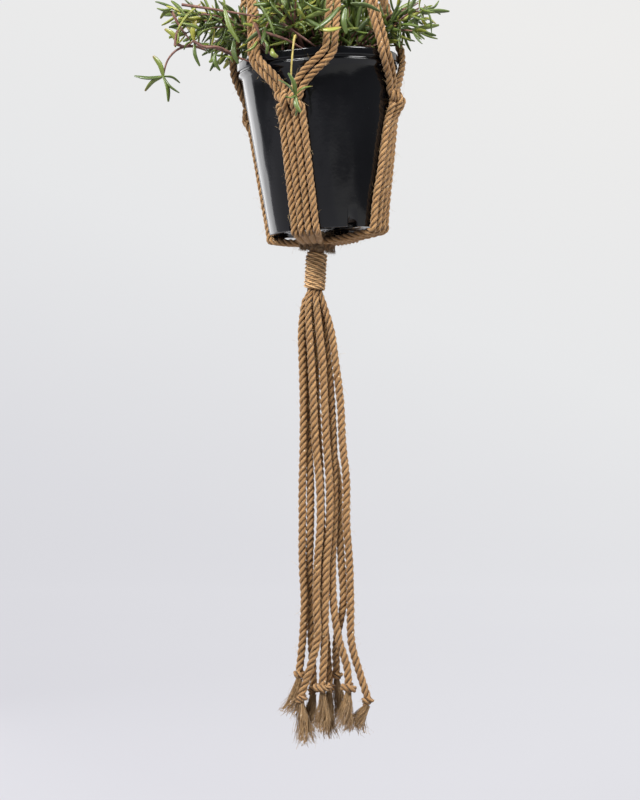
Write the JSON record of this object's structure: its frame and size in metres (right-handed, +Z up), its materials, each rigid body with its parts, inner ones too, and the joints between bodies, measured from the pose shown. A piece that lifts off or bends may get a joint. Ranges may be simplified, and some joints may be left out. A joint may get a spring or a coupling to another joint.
{
  "type": "hanging rope planter",
  "caption": "Hanging planter of knotted jute rope: a ring, a net cradling a tapered nursery pot with a leafy plant, and a long tassel below.",
  "frame": {"origin": "the inside of the hanging ring's top, where it sits on a hook", "axes": "+Z up, -Y towards the front of the planter, +X to its right"},
  "size_m": [0.2948, 0.2501, 1.1637],
  "materials": {
    "ring_wood": "oiled beech, satin",
    "jute_rope": "three-ply laid jute rope, hairy",
    "wrap_cord": "thin jute cord, tightly wound",
    "jute_fibre": "loose jute yarn",
    "pot_plastic": "glossy black moulded plastic",
    "soil": "damp potting soil",
    "leaves": "fleshy narrow leaves on red-brown stems"
  },
  "bodies": {
    "ring": {"hanging_ring": "ring_wood"},
    "loops": {"ring_loops": "jute_rope", "top_wrap": "wrap_cord"},
    "hanger": {"arm_cords_1": "jute_rope", "arm_cords_2": "jute_rope", "arm_cords_3": "jute_rope", "arm_cords_4": "jute_rope", "upper_knot_1": "jute_rope", "upper_knot_2": "jute_rope", "upper_knot_3": "jute_rope", "upper_knot_4": "jute_rope", "net_pair_1": "jute_rope", "net_pair_2": "jute_rope", "net_pair_3": "jute_rope", "net_pair_4": "jute_rope", "net_pair_5": "jute_rope", "net_pair_6": "jute_rope", "net_pair_7": "jute_rope", "net_pair_8": "jute_rope", "lower_knot_1": "jute_rope", "lower_knot_2": "jute_rope", "lower_knot_3": "jute_rope", "lower_knot_4": "jute_rope", "cradle_cords_1": "jute_rope", "cradle_cords_2": "jute_rope", "cradle_cords_3": "jute_rope", "cradle_cords_4": "jute_rope", "gather_knot": "jute_rope", "nursery_pot": "pot_plastic", "potting_soil": "soil", "plant_crown": "leaves", "leaf_lobe_1": "leaves", "leaf_lobe_2": "leaves", "leaf_lobe_3": "leaves", "leaf_lobe_4": "leaves", "leaf_lobe_5": "leaves", "trailing_stem_left": "leaves", "trailing_stem_front": "leaves"},
    "bottom_wrap": {"bottom_wrap": "wrap_cord", "wrap_neck": "jute_rope"},
    "tassel": {"tassel_neck": "jute_rope", "tassel_strand_1": "jute_rope", "tassel_strand_2": "jute_rope", "tassel_strand_3": "jute_rope", "tassel_strand_4": "jute_rope", "tassel_strand_5": "jute_rope", "tassel_strand_6": "jute_rope", "tassel_strand_7": "jute_rope", "tassel_strand_8": "jute_rope", "end_knots": "jute_fibre", "frayed_ends": "jute_fibre"}
  },
  "joints": [
    {"name": "hanger_swing", "type": "hinge", "parent": "ring", "child": "loops", "pos_m": [0, 0, -0.065], "axis": [1, 0, 0], "range_deg": [-18, 18]},
    {"name": "hanger_turn", "type": "hinge", "parent": "loops", "child": "hanger", "pos_m": [0, 0, -0.1628], "axis": [0, 0, 1], "range_deg": [-90, 90]},
    {"name": "wrap_tilt", "type": "hinge", "parent": "hanger", "child": "bottom_wrap", "pos_m": [0, 0, -0.65468], "axis": [0, 1, 0], "range_deg": [-10, 10]},
    {"name": "tassel_swing", "type": "hinge", "parent": "bottom_wrap", "child": "tassel", "pos_m": [-0.0026, 0, -0.69811], "axis": [1, 0, 0], "range_deg": [-16, 16]}
  ]
}
